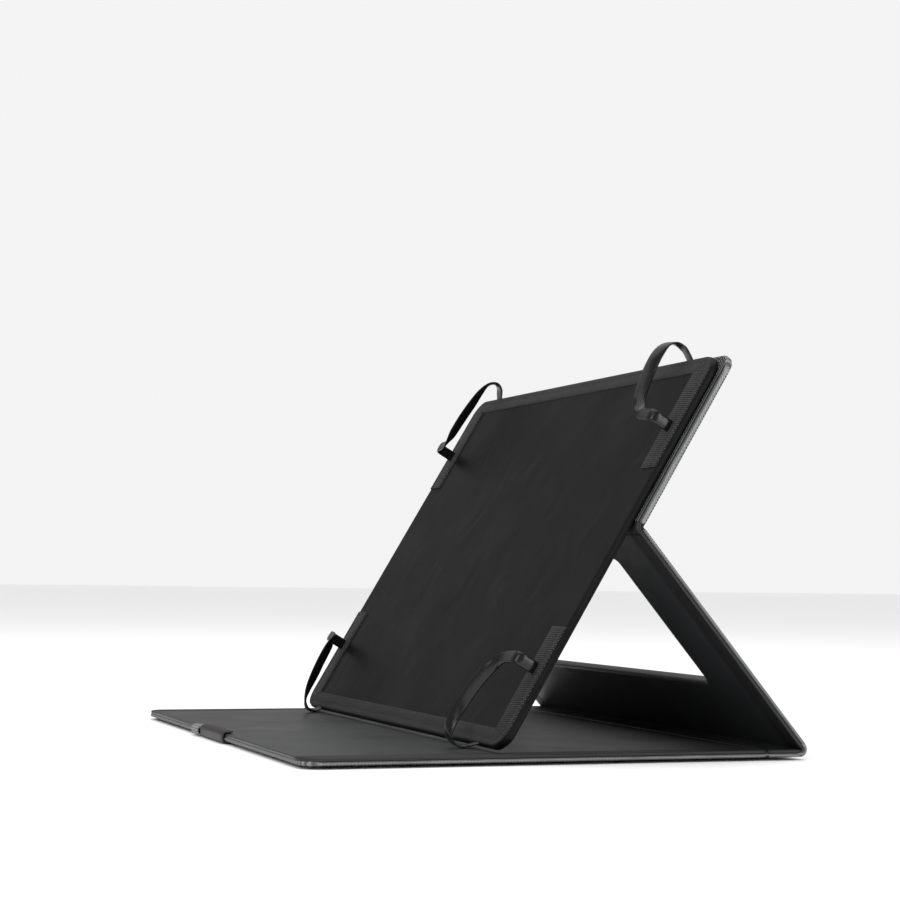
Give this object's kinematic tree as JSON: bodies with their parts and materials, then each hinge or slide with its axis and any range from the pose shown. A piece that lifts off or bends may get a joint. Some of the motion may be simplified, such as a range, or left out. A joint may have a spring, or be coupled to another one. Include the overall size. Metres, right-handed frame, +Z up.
{
  "type": "tablet folio case",
  "caption": "Folio case for a 10-inch class tablet, standing as an easel: woven cover, windowed fold-out strut, tablet panel with corner elastics, hand strap.",
  "frame": {"origin": "centre of the bounding box, on the surface that the case stands on", "axes": "+X along the spine, +Y from the opening edge of the front cover towards the spine, +Z up"},
  "size_m": [0.262, 0.203, 0.1602],
  "materials": {
    "woven_cover": "ribbed black ballistic weave with fine grey flecks",
    "woven_trim": "ribbed black weave",
    "lining": "smooth dark grey lining with a soft sheen",
    "panel_face": "smooth black lining over board",
    "stiffener": "grey polypropylene board",
    "leather": "fine-grained dark brown-black coated leather",
    "webbing": "grey ribbed elastic ribbon",
    "thread": "yellow-green bar-tack thread",
    "elastic": "glossy black flat elastic"
  },
  "bodies": {
    "front_cover": {"front_cover_shell": "woven_cover", "front_cover_board": "stiffener", "front_cover_lining": "lining", "hand_strap": "leather", "strap_bar_tack": "thread", "ribbon_on_cover": "webbing", "ribbon_tab": "webbing"},
    "spine": {"spine_shell": "woven_cover", "spine_board": "stiffener", "spine_lining": "lining", "ribbon_on_spine": "webbing"},
    "strut": {"strut_shell": "woven_cover", "strut_board": "stiffener", "strut_lining": "lining"},
    "panel": {"upper_back_shell": "woven_cover", "upper_back_board": "stiffener", "flap_shell": "woven_cover", "flap_board": "stiffener", "panel_backing": "lining", "panel_board": "stiffener", "panel_face": "panel_face", "top_trim": "woven_trim", "bottom_trim": "woven_trim", "corner_elastic_top_right": "elastic", "corner_elastic_top_left": "elastic", "corner_elastic_bottom_left": "elastic", "corner_elastic_bottom_right": "elastic"}
  },
  "joints": [
    {"name": "cover_hinge", "type": "hinge", "parent": "front_cover", "child": "spine", "pos_m": [0, 0.08465, 0], "axis": [1, 0, 0], "range_deg": [-170, 0]},
    {"name": "back_crease", "type": "hinge", "parent": "spine", "child": "strut", "pos_m": [0, 0.09965, 0.0041], "axis": [1, 0, 0], "range_deg": [-130.3, 0]},
    {"name": "easel_fold", "type": "hinge", "parent": "strut", "child": "panel", "pos_m": [0, 0.0321, 0.08841], "axis": [1, 0, 0], "range_deg": [0, 70.8]}
  ],
  "couplings": [
    {"joint": "back_crease", "follows": "easel_fold", "ratio": -1.8385}
  ]
}
